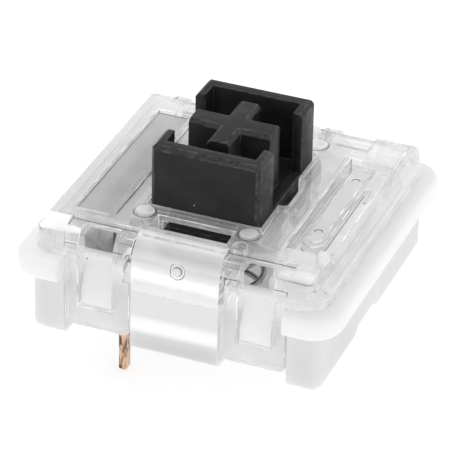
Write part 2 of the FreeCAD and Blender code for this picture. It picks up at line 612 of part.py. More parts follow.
def return_spring():
    """Coil spring between the well's floor and the stem."""
    low = WELL_BOTTOM + WIRE / 2 + SPRING_SEAT
    high = BOX_UNDER - WIRE / 2 - SPRING_SEAT
    path = Part.makeHelix((high - low) / TURNS, high - low, SPRING_R)
    steps = [2 * math.pi * i / WIRE_SIDES for i in range(WIRE_SIDES)]
    ring = [V(SPRING_R + WIRE / 2 * math.cos(a), 0, WIRE / 2 * math.sin(a)) for a in steps]
    section = Part.makePolygon(ring + [ring[0]])
    coil = Part.Wire(path).makePipeShell([section], True, True)
    coil.translate(V(0, 0, low))
    return coil


def leaf_pin_box():
    """Plan box of the front solder pin."""
    return (LEAF_PIN_X - PIN_W / 2, LEAF_PIN_X + PIN_W / 2, LEAF_PIN_Y - PIN_D / 2, LEAF_PIN_Y + PIN_D / 2)


def fixed_pin_box():
    """Plan box of the side solder pin, which stands against the wall."""
    x0 = -CAVITY_X + LIFT
    return (x0, x0 + PIN_W, FIXED_PIN_Y - PIN_D / 2, FIXED_PIN_Y + PIN_D / 2)


def solder_pin(box):
    """Solder pin through the floor, with a chamfered tip."""
    x0, x1, y0, y1 = box
    pin = block(x0, x1, y0, y1, -PIN_REACH, FLOOR_TOP + LIFT + STRIP)
    return pin.makeChamfer(PIN_TAPER, edges_at(pin, -PIN_REACH))


def leaf_terminal():
    """Front terminal: pin, front plate and the tab that carries the leaf."""
    low = FLOOR_TOP + LIFT
    x0, x1, y0, y1 = leaf_pin_box()
    plate = block(FRAME_GAP - CAVITY_X, LEAF_PIN_X + FRAME_PAST, y0, y0 + STRIP, low, FRAME_TOP)
    seat = LEAF_X - LEAF_THICK / 2 - LEAF_GAP
    tab = block(seat - STRIP, seat, y0, LEAF_PIVOT + TAB_REACH, low, FRAME_TOP)
    return solder_pin((x0, x1, y0, y1)).fuse([plate, tab])


def tip_face():
    """Where the leaf's contact tip ends at rest."""
    return LEAF_X + LEAF_THICK / 2 + TIP_THICK


def fixed_terminal():
    """Side terminal: pin, wall plate, back plate and the tab behind the fixed tip."""
    low = FLOOR_TOP + LIFT
    wall = -CAVITY_X + LIFT
    tab_x = tip_face() + TIP_GAP + TIP_THICK
    back_y = FIXED_END + STRIP
    side = block(wall, wall + STRIP, FIXED_FRONT, back_y, low, FIXED_TOP)
    back = block(wall, tab_x + STRIP, FIXED_END, back_y, low, FIXED_TOP)
    tab = block(tab_x, tab_x + STRIP, TIP_Y - TAB_HALF, back_y, TIP_Z - TIP_R - LIFT, FIXED_TOP)
    return solder_pin(fixed_pin_box()).fuse([side, back, tab])


def leaf_outline(z, crest):
    """Plan outline of the leaf at one height, with the prong's crest at the given X."""
    half = LEAF_THICK / 2
    bend = PRONG_HALF + PRONG_RUN
    line = [
        (LEAF_X, LEAF_ROOT),
        (LEAF_X, -bend),
        (crest - half, -PRONG_HALF),
        (crest - half, PRONG_HALF),
        (LEAF_X, bend),
        (LEAF_X, LEAF_END),
    ]
    inner = [V(x + half, y, z) for x, y in line]
    outer = [V(x - half, y, z) for x, y in reversed(line)]
    return Part.makePolygon(inner + outer + [inner[0]])


def contact_leaf():
    """Spring leaf whose prong leans, so that the nub lets it swing as the stem goes down."""
    reach = math.tan(math.radians(SWING_DEG)) * abs(LEAF_PIVOT)
    slope = reach / TRAVEL
    nub_mid = SKIRT_BOTTOM + NUB_HEIGHT / 2
    crest = -NUB_REACH - NUB_GAP
    low = leaf_outline(LEAF_BOTTOM, crest - slope * (nub_mid - LEAF_BOTTOM))
    high = leaf_outline(LEAF_TOP, crest - slope * (nub_mid - LEAF_TOP))
    leaf = Part.makeLoft([low, high], True, True)
    edge = PRONG_HALF + PRONG_RUN + LEAF_THICK
    x0, x1 = LEAF_X - OVER, LEAF_X + OVER
    near_slit = block(x0, x1, LEAF_PIVOT + TAB_REACH + LEAF_GAP, -edge, SLIT_LOW, SLIT_HIGH)
    far_slit = block(x0, x1, edge, TIP_Y - 2 * TIP_R, SLIT_LOW, SLIT_HIGH)
    return leaf.cut([near_slit, far_slit])


def contact_tip(x0):
    """Small round contact tip with its axis along X."""
    return Part.makeCylinder(TIP_R, TIP_THICK, V(x0, TIP_Y, TIP_Z), V(1, 0, 0))


def main():
    """Makes every piece and writes it to its own file."""
    leaf_tip_x = LEAF_X + LEAF_THICK / 2
    pieces = {
        "bottom_housing": bottom_housing(),
        "top_housing": top_housing(),
        "stem": stem(),
        "return_spring": return_spring(),
        "leaf_terminal": leaf_terminal(),
        "fixed_terminal": fixed_terminal(),
        "contact_leaf": contact_leaf(),
        "leaf_contact_tip": contact_tip(leaf_tip_x),
        "fixed_contact_tip": contact_tip(tip_face() + TIP_GAP),
    }
    os.makedirs("parts", exist_ok=True)
    for name, shape in pieces.items():
        solid = shape.removeSplitter()
        if not solid.isValid():
            raise ValueError(name + " is not a valid solid")
        solid.exportStep("parts/" + name + ".step")
        print(name, len(solid.Solids), round(solid.Volume, 3))


main()
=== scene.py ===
import logging
import math
from collections.abc import Callable
from dataclasses import dataclass
from enum import Enum

import bmesh
import bpy
from mathutils import Matrix, Vector


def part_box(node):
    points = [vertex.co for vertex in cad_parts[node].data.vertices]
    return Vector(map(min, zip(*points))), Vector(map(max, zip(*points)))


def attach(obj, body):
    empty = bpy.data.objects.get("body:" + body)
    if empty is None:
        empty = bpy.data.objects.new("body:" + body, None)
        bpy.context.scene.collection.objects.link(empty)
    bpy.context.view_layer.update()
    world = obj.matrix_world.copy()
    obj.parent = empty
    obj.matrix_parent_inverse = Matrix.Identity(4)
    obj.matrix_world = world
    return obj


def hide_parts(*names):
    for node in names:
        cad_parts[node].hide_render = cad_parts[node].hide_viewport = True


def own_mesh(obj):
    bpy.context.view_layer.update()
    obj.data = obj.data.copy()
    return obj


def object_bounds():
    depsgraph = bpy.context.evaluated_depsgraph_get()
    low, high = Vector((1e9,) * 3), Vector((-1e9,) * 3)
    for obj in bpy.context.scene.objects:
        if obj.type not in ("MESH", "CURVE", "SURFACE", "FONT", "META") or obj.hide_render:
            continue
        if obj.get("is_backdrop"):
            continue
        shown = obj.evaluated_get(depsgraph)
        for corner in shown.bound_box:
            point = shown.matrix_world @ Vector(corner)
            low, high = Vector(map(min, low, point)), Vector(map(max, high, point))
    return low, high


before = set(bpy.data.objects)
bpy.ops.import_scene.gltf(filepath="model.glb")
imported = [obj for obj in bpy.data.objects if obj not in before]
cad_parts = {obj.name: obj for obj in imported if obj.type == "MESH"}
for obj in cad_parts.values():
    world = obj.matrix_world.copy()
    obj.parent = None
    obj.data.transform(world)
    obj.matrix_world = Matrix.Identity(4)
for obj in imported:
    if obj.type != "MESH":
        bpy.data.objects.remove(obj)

MM = 0.001                     # one millimetre, in metres
WELD = 0.0005 * MM             # points nearer than this are one point
FLAT_DEG = 0.4                 # faces that turn less than this are one face
SHARP_DEG = 38.0               # edges that turn more than this are rounded or get a facet
SMOOTH_DEG = 32.0              # faces that turn less than this are shaded as one
ROUND_STEPS = 2                # faces across a rounded edge

log = logging.getLogger("switch")
Colour = tuple[float, float, float]
Point = tuple[float, float, float]
Span = tuple[float, float]
Levels = tuple[tuple[float, float], ...]        # places in millimetres, rising, and how light they are
WHITE: Colour = (1.0, 1.0, 1.0)


def grey(tone: float) -> Colour:
    """A colour that is equally light in red, green and blue."""
    return (tone, tone, tone)


class Body(Enum):
    """The bodies that a piece can ride on."""

    HOUSING = "housing"
    STEM = "stem"
    LEAF = "leaf"


class Slot(Enum):
    """The record's material slots."""

    MILKY = "milky_housing"
    CLEAR = "clear_housing"
    BLACK = "black_stem"
    SPRING = "spring_steel"
    COPPER = "copper_alloy"
    BRONZE = "leaf_bronze"
    SILVER = "contact_silver"


class CoverFinish(Enum):
    """The surface finishes of the clear housing, in the order of its materials."""

    POLISHED = 0
    PANEL = 1
    RIM = 2
    GROOVE = 3
    NAME_FLOOR = 4
    PALE = 5
    DIMPLE = 6
    FACETS = 7
    SHOULDER = 8


class BodyFinish(Enum):
    """The surface finishes of the milky housing, in the order of its materials."""

    PLAIN = 0
    BANDED = 1
    CATCH = 2
    HOLLOW = 3


class StemFinish(Enum):
    """The surface finishes of the stem, in the order of its materials."""

    SATIN = 0
    EDGE = 1
    BEVEL = 2


class Recipe:
    """A node material that is being put together, with patterns measured in millimetres."""

    def __init__(self, name: str) -> None:
        """Starts a material with one shader and object coordinates in millimetres.

        Args:
            name: the material's name.
        """
        self.material = bpy.data.materials.new(name)
        self.material.use_nodes = True
        self.tree = self.material.node_tree
        self.shader = self.tree.nodes["Principled BSDF"]
        self.place = self.stretched((1.0, 1.0, 1.0))

    def node(self, kind: str) -> bpy.types.Node:
        """A new node of a kind."""
        return self.tree.nodes.new(kind)

    def join(self, start: bpy.types.NodeSocket, end: bpy.types.NodeSocket) -> None:
        """Links one socket to another."""
        self.tree.links.new(start, end)

    def stretched(self, stretch: Point) -> bpy.types.NodeSocket:
        """Object coordinates in millimetres, stretched along the axes.

        Args:
            stretch: how much closer a pattern repeats along X, Y and Z.

        Returns:
            The coordinates' socket.
        """
        coordinates = self.node("ShaderNodeTexCoord")
        mapping = self.node("ShaderNodeMapping")
        mapping.inputs["Scale"].default_value = [s / MM for s in stretch]
        self.join(coordinates.outputs["Object"], mapping.inputs["Vector"])
        return mapping.outputs["Vector"]

    def noise(self, per_mm: float, detail: float = 3.0, place: bpy.types.NodeSocket | None = None,
              warp: float = 0.0) -> bpy.types.NodeSocket:
        """A cloudy pattern.

        Args:
            per_mm: how many features it has in a millimetre.
            detail: how many finer layers it has.
            place: coordinates to read, or None for plain ones.
            warp: how much it is distorted.

        Returns:
            The pattern's value, about 0 to 1.
        """
        made = self.node("ShaderNodeTexNoise")
        made.inputs["Scale"].default_value = per_mm
        made.inputs["Detail"].default_value = detail
        made.inputs["Distortion"].default_value = warp
        self.join(place or self.place, made.inputs["Vector"])
        return made.outputs["Fac"]

    def spread(self, value: bpy.types.NodeSocket, start: float, end: float, low: float = 0.3,
               high: float = 0.7) -> bpy.types.NodeSocket:
        """A value moved from one range to another.

        Args:
            value: what is read.
            start: the result at low.
            end: the result at high.
            low: lower end of what is read.
            high: upper end of what is read.

        Returns:
            The result's socket.
        """
        made = self.node("ShaderNodeMapRange")
        made.inputs["From Min"].default_value = low
        made.inputs["From Max"].default_value = high
        made.inputs["To Min"].default_value = start
        made.inputs["To Max"].default_value = end
        self.join(value, made.inputs["Value"])
        return made.outputs["Result"]

    def ramp(self, value: bpy.types.NodeSocket, *stops: tuple[float, Colour]) -> bpy.types.NodeSocket:
        """A colour that follows a value.

        Args:
            value: what is read.
            stops: places and their colours, in rising order.

        Returns:
            The colour's socket.
        """
        made = self.node("ShaderNodeValToRGB")
        marks = made.color_ramp.elements
        while len(marks) < len(stops):
            marks.new(0.5)
        for mark, (place, colour) in zip(marks, stops):
            mark.position = place
            mark.color = (*colour, 1.0)
        self.join(value, made.inputs["Fac"])
        return made.outputs["Color"]

    def mix(self, share: bpy.types.NodeSocket, first: bpy.types.NodeSocket | Colour,
            second: bpy.types.NodeSocket | Colour) -> bpy.types.NodeSocket:
        """Two colours mixed by a share.

        Args:
            share: 0 for the first colour, 1 for the second.
            first: a colour or its socket.
            second: a colour or its socket.

        Returns:
            The mixed colour's socket.
        """
        made = self.node("ShaderNodeMix")
        made.data_type = "RGBA"
        self.join(share, made.inputs["Factor"])
        for name, colour in (("A", first), ("B", second)):
            socket = [s for s in made.inputs if s.name == name and s.type == "RGBA"][0]
            if isinstance(colour, tuple):
                socket.default_value = (*colour, 1.0)
            else:
                self.join(colour, socket)
        return [s for s in made.outputs if s.type == "RGBA"][0]

    def calc(self, kind: str, first: bpy.types.NodeSocket, second: bpy.types.NodeSocket | float,
             clamp: bool = False) -> bpy.types.NodeSocket:
        """Two values worked into one, by an operation such as ADD or MULTIPLY.

        Args:
            kind: the operation.
            first: the first value.
            second: the second value or its socket.
            clamp: whether the result stays from 0 to 1.

        Returns:
            The result's socket.
        """
        made = self.node("ShaderNodeMath")
        made.operation = kind
        made.use_clamp = clamp
        self.join(first, made.inputs[0])
        if isinstance(second, (int, float)):
            made.inputs[1].default_value = second
        else:
            self.join(second, made.inputs[1])
        return made.outputs[0]

    def axis(self, letter: str) -> bpy.types.NodeSocket:
        """One object coordinate in millimetres.

        Args:
            letter: X, Y or Z.

        Returns:
            The coordinate's socket.
        """
        made = self.node("ShaderNodeSeparateXYZ")
        self.join(self.place, made.inputs["Vector"])
        return made.outputs[letter]

    def cells(self, per_mm: float, place: bpy.types.NodeSocket | None = None
              ) -> tuple[bpy.types.NodeSocket, bpy.types.NodeSocket]:
        """Irregular cells, each with its own chance.

        Args:
            per_mm: how many lie along a millimetre.
            place: coordinates to read, or None for plain ones.

        Returns:
            The distance from a cell's middle, and the cell's chance from 0 to 1.
        """
        made = self.node("ShaderNodeTexVoronoi")
        made.inputs["Scale"].default_value = per_mm
        self.join(place or self.place, made.inputs["Vector"])
        parts = self.node("ShaderNodeSeparateColor")
        self.join(made.outputs["Color"], parts.inputs["Color"])
        return made.outputs["Distance"], parts.outputs["Red"]

    def specks(self, per_mm: float, size: float, share: float) -> bpy.types.NodeSocket:
        """Sparse round specks of dust.

        Args:
            per_mm: how many could lie along a millimetre.
            size: a speck's radius, as a part of its cell.
            share: the part of the cells that has one.

        Returns:
            The socket of a mask that is 1 on a speck.
        """
        away, chance = self.cells(per_mm)
        small, rare = self.calc("LESS_THAN", away, size), self.calc("LESS_THAN", chance, share)
        return self.calc("MULTIPLY", small, rare)

    def levels(self, place: bpy.types.NodeSocket, levels: Levels) -> bpy.types.NodeSocket:
        """A grey that follows a place.

        Args:
            place: the place in millimetres.
            levels: how light it is at some places.

        Returns:
            The grey's socket.
        """
        low, high = levels[0][0], levels[-1][0]
        stops = [((at - low) / (high - low), grey(tone)) for at, tone in levels]
        return self.ramp(self.spread(place, 0.0, 1.0, low, high), *stops)

    def feed(self, name: str, value: bpy.types.NodeSocket) -> None:
        """Links a socket to one of the shader's own."""
        self.join(value, self.shader.inputs[name])

    def bump(self, depth_mm: float, *heights: tuple[bpy.types.NodeSocket, float]) -> None:
        """Roughens the surface by one or more patterns.

        Args:
            depth_mm: depth of the relief at full strength.
            heights: each pattern and its strength.
        """
        last = None
        for height, strength in heights:
            made = self.node("ShaderNodeBump")
            made.inputs["Distance"].default_value = depth_mm * MM
            made.inputs["Strength"].default_value = strength
            self.join(height, made.inputs["Height"])
            if last:
                self.join(last, made.inputs["Normal"])
            last = made.outputs["Normal"]
        self.feed("Normal", last)

    def set(self, **values: float | Colour) -> None:
        """Sets values that are the same all over, on the shader's own sockets.

        Args:
            values: each socket's value, under its name with _ for a space.
        """
        for name, value in values.items():
            socket = self.shader.inputs[name.replace("_", " ")]
            socket.default_value = (*value, 1.0) if name.endswith("Color") else value


@dataclass(frozen=True)
class MilkyNylon:
    """Milky white moulded plastic that lets a little light through, in one of its surface finishes."""

    name: str
    banded: bool = False                # whether the wall has a painted highlight band, with painted shade below it
    thin: Colour = (0.69, 0.69, 0.692)
    thick: Colour = (0.74, 0.74, 0.742)
    lip: Colour = grey(0.88)            # the flange, where light comes through from above
    lip_mm: Span = (3.0, 3.3)           # heights between which it sets in, round the flange's underside
    shelf_shade: Colour = grey(0.8)           # painted shade on the flange's top, darker towards the right
    shelf_mm: Span = (4.05, 4.14)       # heights between which it sets in
    right_mm: Span = (-2.0, 6.0)        # and places along X
    high: Colour = grey(0.82)           # a banded wall above its painted highlight band
    low: Colour = grey(0.62)            # and below it, with painted shade
    # painted highlight: the band's colour, which it also gives off as a painted glow
    band: Colour = WHITE
    band_mm: float = 1.57               # height of the band's middle above the board
    band_half_mm: float = 0.52
    band_flat_mm: float = 0.1           # half height of its brightest part
    band_tilt: float = -0.02            # how far it falls for each millimetre along X
    # strength of the painted glow of the highlight band
    glow: float = 0.1
    let_in: float = 0.0                 # light that comes through the wall into the hollow
    grit: Colour = (0.10, 0.09, 0.08)
    rough: Span = (0.28, 0.42)
    relief_mm: float = 0.006
    grain_per_mm: float = 26.0          # the finest relief
    ripples_per_mm: float = 0.9         # and the broadest
    scatter: float = 0.7                # share of the light that wanders inside
    scatter_mm: float = 1.2             # how far it gets

    def banded_colour(self, recipe: Recipe) -> bpy.types.NodeSocket:
        """The colour of a wall with a painted highlight band that glows, paler above it and darker below
        with painted shade.

        Args:
            recipe: the material.

        Returns:
            The colour's socket.
        """
        tilt = recipe.calc("MULTIPLY", recipe.axis("X"), self.band_tilt)
        height = recipe.calc("ADD", recipe.axis("Z"), tilt)
        over = recipe.spread(height, 0.0, 1.0, self.band_mm - 2 * self.band_half_mm, self.band_mm)
        away = recipe.calc("ABSOLUTE", recipe.calc("SUBTRACT", height, self.band_mm), 0.0)
        share = recipe.spread(away, 1.0, 0.0, self.band_flat_mm, self.band_half_mm)
        recipe.feed("Emission Color", recipe.ramp(share, (0.0, grey(0.0)), (1.0, self.band)))
        recipe.set(Emission_Strength=self.glow)
        return recipe.mix(share, recipe.mix(over, self.low, self.high), self.band)

    def plain_colour(self, recipe: Recipe) -> bpy.types.NodeSocket:
        """The colour of a wall without a band, cloudy below the flange, paler on it with painted light, and
        with painted shade on its top towards the right.

        Args:
            recipe: the material.

        Returns:
            The colour's socket.
        """
        recipe.set(Emission_Strength=self.let_in, Emission_Color=WHITE)
        cloud = recipe.ramp(recipe.noise(0.28, 3.0, warp=0.4), (0.3, self.thin), (0.7, self.thick))
        over = recipe.spread(recipe.axis("Z"), 0.0, 1.0, *self.lip_mm)
        top = recipe.spread(recipe.axis("Z"), 0.0, 1.0, *self.shelf_mm)
        right = recipe.spread(recipe.axis("X"), 0.0, 1.0, *self.right_mm)
        return recipe.mix(over, cloud, recipe.mix(recipe.calc("MULTIPLY", top, right), self.lip, self.shelf_shade))

    def material(self) -> bpy.types.Material:
        """Mixes the material.

        Returns:
            The finished material.
        """
        recipe = Recipe(self.name)
        colour = self.banded_colour(recipe) if self.banded else self.plain_colour(recipe)
        dust = recipe.specks(per_mm=1.1, size=0.05, share=0.05)
        recipe.feed("Base Color", recipe.mix(dust, colour, self.grit))
        recipe.feed("Roughness", recipe.spread(recipe.noise(1.6, 4.0), *self.rough))
        recipe.bump(self.relief_mm, (recipe.noise(self.grain_per_mm, 2.0), 0.22),
                    (recipe.noise(self.ripples_per_mm, 2.0), 0.35))
        recipe.set(Subsurface_Weight=self.scatter, Subsurface_Radius=(1.0, 1.0, 1.0),
                   Subsurface_Scale=self.scatter_mm * MM, IOR=1.53)
        return recipe.material


@dataclass(frozen=True)
class ClearCarbonate:
    """Clear moulded plastic with faint flow lines and smudges, in one of its surface finishes."""

    name: str
    veil: float                         # how much is seen of it squarely; at a grazing angle all is
    refracted: float                    # share of what is seen that is bent light
    rough: float                        # roughness of the smudged places
    tint: Colour = grey(0.985)
    clean: float = 0.02                 # roughness of the clean places
    shade: float = 0.94                 # how light the clean places are, as a part of the tint
    blocks: float = 0.15                # share of the light that it holds back
    glow: float = 0.0                   # painted glow that the surface gives off itself
    painted_patches: bool = False                # whether it is broken into painted dark and bright patches, standing in for bent light
    uneven: Colour | None = None        # a second colour that takes turns with the tint along an edge, breaking up its painted highlight
    bands: Levels = ()                  # painted light and shade: how light it is at some heights
    dust: Colour = grey(0.08)
    smudges_per_mm: float = 0.55
    smudge_shift: float = 0.04          # how much more of a smudge is seen, and less of a clean place
    band_shift_mm: float = 0.05         # how far smudges move the bands up or down
    relief_mm: float = 0.01

    def patches(self, recipe: Recipe) -> bpy.types.NodeSocket:
        """Small dark and bright patches, as light that is bent many times makes them.

        Args:
            recipe: the material.

        Returns:
            The patches' socket.
        """
        _, chance = recipe.cells(2.6, recipe.stretched((1.0, 0.5, 1.7)))
        return recipe.ramp(chance, (0.1, grey(0.07)), (0.3, grey(0.45)), (0.42, grey(0.95)))

    def colour(self, recipe: Recipe, smudge: bpy.types.NodeSocket) -> bpy.types.NodeSocket:
        """The colour, with its smudges, its painted patches of bent light, its painted highlight broken
        along an edge or its painted bands of light and shade.

        Args:
            recipe: the material.
            smudge: the pattern of the smudges.

        Returns:
            The colour's socket.
        """
        if self.painted_patches:
            return self.patches(recipe)
        if not (self.uneven or self.bands):
            dim = tuple(self.shade * part for part in self.tint)
            plain = recipe.ramp(smudge, (0.3, dim), (0.62, self.tint))
            return recipe.mix(recipe.specks(per_mm=1.3, size=0.05, share=0.04), plain, self.dust)
        if self.uneven:
            made = recipe.ramp(recipe.noise(0.9, 3.0, warp=0.5), (0.42, self.uneven), (0.6, self.tint))
        else:
            shift = recipe.spread(smudge, -self.band_shift_mm, self.band_shift_mm)
            made = recipe.levels(recipe.calc("ADD", recipe.axis("Z"), shift), self.bands)
        recipe.feed("Emission Color", made)
        return made

    def material(self) -> bpy.types.Material:
        """Mixes the material.

        Returns:
            The finished material.
        """
        recipe = Recipe(self.name)
        smudge = recipe.noise(self.smudges_per_mm, 4.0, warp=0.6)
        recipe.set(Emission_Strength=self.glow, Emission_Color=WHITE)
        recipe.feed("Base Color", self.colour(recipe, smudge))
        recipe.feed("Roughness", recipe.spread(smudge, self.clean, self.rough))
        flow = recipe.noise(0.8, 2.0, recipe.stretched((0.35, 1.0, 1.0)), warp=0.8)
        recipe.bump(self.relief_mm, (flow, 0.05), (recipe.noise(7.0, 2.0), 0.04))
        grazing = recipe.calc("POWER", recipe.node("ShaderNodeLayerWeight").outputs["Facing"], 3.0)
        haze = recipe.calc("MULTIPLY", grazing, 1.0 - self.veil)
        seen = recipe.calc("ADD", haze, self.veil, clamp=True)
        shift = recipe.spread(smudge, -self.smudge_shift, self.smudge_shift)
        seen = recipe.calc("ADD", seen, shift, clamp=True)
        rays = recipe.node("ShaderNodeLightPath")
        lit = recipe.calc("MAXIMUM", rays.outputs["Is Shadow Ray"], rays.outputs["Is Diffuse Ray"])
        recipe.feed("Alpha", recipe.calc("MULTIPLY", seen, recipe.spread(lit, 1.0, self.blocks, 0.0, 1.0)))
        recipe.set(Transmission_Weight=self.refracted, IOR=1.45, Coat_Weight=1.0, Coat_Roughness=0.03,
                   Coat_IOR=1.5)
        return recipe.material


@dataclass(frozen=True)
class BlackAcetal:
    """Satin black moulded plastic with a fine sparked texture, in one of its surface finishes."""

    name: str
    deep: Colour = (0.010, 0.010, 0.011)
    # lighter patches: wear, and on the edge and bevel finishes a painted highlight
    wear_and_highlight: Colour = (0.022, 0.022, 0.023)
    patches_per_mm: float = 0.7
    dust: Colour = (0.55, 0.54, 0.52)
    rough: Span = (0.34, 0.5)
    relief_mm: float = 0.006
    grain_per_mm: float = 20.0          # the finest relief
    ripples_per_mm: float = 1.2         # and the broadest

    def material(self) -> bpy.types.Material:
        """Mixes the material.

        Returns:
            The finished material.
        """
        recipe = Recipe(self.name)
        patches = recipe.noise(self.patches_per_mm, 4.0, warp=0.3)
        colour = recipe.ramp(patches, (0.35, self.deep), (0.75, self.wear_and_highlight))
        specks = recipe.specks(per_mm=2.0, size=0.07, share=0.03)
        recipe.feed("Base Color", recipe.mix(specks, colour, self.dust))
        recipe.feed("Roughness", recipe.spread(recipe.noise(2.2, 3.0), *self.rough))
        recipe.bump(self.relief_mm, (recipe.noise(self.grain_per_mm, 3.0), 0.35),
                    (recipe.noise(self.ripples_per_mm, 2.0), 0.3))
        recipe.set(IOR=1.33)
        return recipe.material


@dataclass(frozen=True)
class Metal:
    """A stamped or drawn metal with fine lines along one axis."""

    name: str
    dark: Colour
    bright: Colour
    lines: Point = (12.0, 0.6, 12.0)    # how many lie along a millimetre of X, Y and Z
    rough: Span = (0.22, 0.42)
    relief_mm: float = 0.003
    stains_per_mm: float = 1.1

    def material(self) -> bpy.types.Material:
        """Mixes the material.

        Returns:
            The finished material.
        """
        recipe = Recipe(self.name)
        stain = recipe.noise(self.stains_per_mm, 4.0, warp=0.5)
        recipe.feed("Base Color", recipe.ramp(stain, (0.3, self.dark), (0.7, self.bright)))
        drawn = recipe.noise(1.0, 3.0, recipe.stretched(self.lines))
        recipe.feed("Roughness", recipe.spread(drawn, *self.rough))
        recipe.bump(self.relief_mm, (drawn, 0.4))
        recipe.set(Metallic=1.0)
        return recipe.material


@dataclass(frozen=True)
class PlatedCopper:
    """Stamped copper strip, plated grey inside the housing and bare on the solder pin."""

    copper_dark: Colour = (0.13, 0.08, 0.055)
    copper: Colour = (0.74, 0.50, 0.36)
    bare_mm: Span = (0.8, 1.0)          # heights between which the bare copper ends
    bare_shift_mm: float = 0.15         # how far stains move that up or down
    tarnish: Colour = grey(0.12)
    tarnished: float = 0.6              # how much of it shows at most
    fold_light_and_shade: Levels = (                   # painted light and shade of each upright fold: how light the plated strip is along X
        (-4.75, 0.62), (-3.82, 0.5), (-3.74, 0.06), (-3.62, 0.12), (-3.57, 0.8), (-3.52, 0.1), (-3.42, 0.08),
        (-3.36, 0.32), (-2.9, 0.3))
    rolled: Point = (9.0, 9.0, 0.7)     # how many rolling lines lie along a millimetre of X, Y and Z
    rough: Span = (0.24, 0.44)
    relief_mm: float = 0.004

    def plated(self, recipe: Recipe, stain: bpy.types.NodeSocket) -> bpy.types.NodeSocket:
        """The plated strip's grey, with painted light and shade standing in for each upright fold that shows
        in the front window.

        Args:
            recipe: the material.
            stain: the pattern of its stains.

        Returns:
            The colour's socket.
        """
        shaded_fold = recipe.levels(recipe.axis("X"), self.fold_light_and_shade)
        return recipe.mix(recipe.spread(stain, self.tarnished, 0.0), shaded_fold, self.tarnish)

    def material(self) -> bpy.types.Material:
        """Mixes the material.

        Returns:
            The finished material.
        """
        recipe = Recipe("plated_copper")
        stain = recipe.noise(1.4, 4.0, warp=0.6)
        streaks = recipe.noise(3.2, 3.0, recipe.stretched((1.0, 1.0, 0.35)), warp=0.5)
        bare = recipe.ramp(streaks, (0.42, self.copper_dark), (0.52, self.copper))
        shift = recipe.spread(stain, -self.bare_shift_mm, self.bare_shift_mm)
        share = recipe.spread(recipe.calc("ADD", recipe.axis("Z"), shift), 0.0, 1.0, *self.bare_mm)
        recipe.feed("Base Color", recipe.mix(share, bare, self.plated(recipe, stain)))
        rolled = recipe.noise(1.0, 3.0, recipe.stretched(self.rolled))
        recipe.feed("Roughness", recipe.spread(rolled, *self.rough))
        recipe.bump(self.relief_mm, (rolled, 0.45))
        recipe.set(Metallic=1.0)
        return recipe.material


@dataclass(frozen=True)
class PaleFloor:
    """The pale top of a light table, which glows softly."""

    dim: Colour = grey(0.50)
    pale: Colour = grey(0.54)
    clouds_per_mm: float = 0.05
    relief_mm: float = 0.02
    glow: float = 0.62

    def material(self) -> bpy.types.Material:
        """Mixes the material.

        Returns:
            The finished material.
        """
        recipe = Recipe("pale_floor")
        cloud = recipe.noise(self.clouds_per_mm, 3.0)
        recipe.feed("Base Color", recipe.ramp(cloud, (0.3, self.dim), (0.7, self.pale)))
        recipe.bump(self.relief_mm, (recipe.noise(3.0, 3.0), 0.1))
        recipe.set(Roughness=0.9, Emission_Strength=self.glow, Emission_Color=WHITE)
        return recipe.material


FaceFinish = MilkyNylon | ClearCarbonate | BlackAcetal


